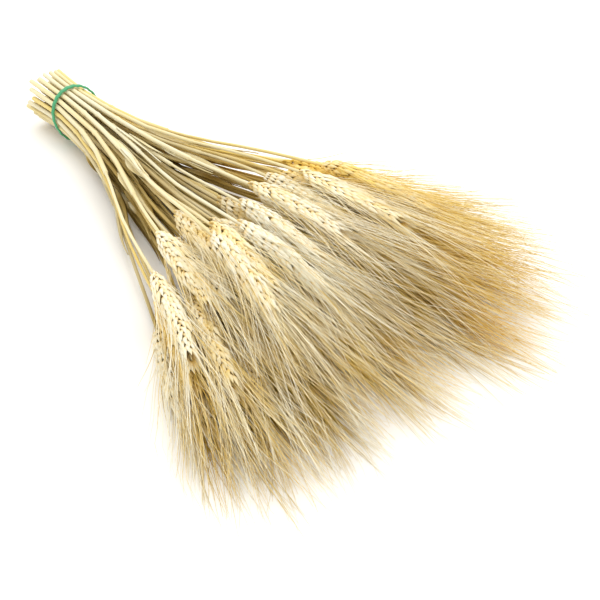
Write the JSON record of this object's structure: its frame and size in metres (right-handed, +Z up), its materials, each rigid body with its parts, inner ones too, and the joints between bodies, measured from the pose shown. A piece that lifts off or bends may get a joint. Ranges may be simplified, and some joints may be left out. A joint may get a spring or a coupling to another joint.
{
  "type": "bundle of dried triticale",
  "caption": "Sheaf of dried bearded triticale lying on its side: pale straw stalks held by one green band near the cut ends, ears and long awns fanned out.",
  "frame": {"origin": "middle of the underside of the bounding box, on the surface the bundle lies on", "axes": "+Z up; +Y towards the cut ends of the stems, -Y towards the tips of the awns; +X across the fan"},
  "size_m": [0.331, 0.5318, 0.0747],
  "materials": {
    "dried_straw": "dry, matt straw with a faint silky sheen on the husks",
    "green_band": "smooth, slightly shiny elastic band"
  },
  "bodies": {
    "root": {"stalk_01": "dried_straw", "stalk_02": "dried_straw", "stalk_03": "dried_straw", "stalk_04": "dried_straw", "stalk_05": "dried_straw", "stalk_06": "dried_straw", "stalk_07": "dried_straw", "stalk_08": "dried_straw", "stalk_09": "dried_straw", "stalk_10": "dried_straw", "stalk_11": "dried_straw", "stalk_12": "dried_straw", "stalk_13": "dried_straw", "stalk_14": "dried_straw", "stalk_15": "dried_straw", "stalk_16": "dried_straw", "stalk_17": "dried_straw", "stalk_18": "dried_straw", "stalk_19": "dried_straw", "stalk_20": "dried_straw", "stalk_21": "dried_straw", "stalk_22": "dried_straw", "stalk_23": "dried_straw", "stalk_24": "dried_straw", "stalk_25": "dried_straw", "stalk_26": "dried_straw", "stalk_27": "dried_straw", "stalk_28": "dried_straw", "stalk_29": "dried_straw", "stalk_30": "dried_straw", "stalk_31": "dried_straw", "stalk_32": "dried_straw", "stalk_33": "dried_straw", "stalk_34": "dried_straw", "stalk_35": "dried_straw", "stalk_36": "dried_straw", "stalk_37": "dried_straw", "stalk_38": "dried_straw", "stalk_39": "dried_straw", "stalk_40": "dried_straw", "stalk_41": "dried_straw", "stalk_42": "dried_straw", "stalk_43": "dried_straw", "stalk_44": "dried_straw", "stalk_45": "dried_straw", "stalk_46": "dried_straw", "stalk_47": "dried_straw", "stalk_48": "dried_straw", "stalk_49": "dried_straw", "stalk_50": "dried_straw", "stalk_51": "dried_straw", "stalk_52": "dried_straw", "stalk_53": "dried_straw", "stalk_54": "dried_straw", "stalk_55": "dried_straw", "stalk_56": "dried_straw", "stalk_57": "dried_straw", "stalk_58": "dried_straw", "stalk_59": "dried_straw", "tie_band": "green_band"}
  },
  "joints": []
}
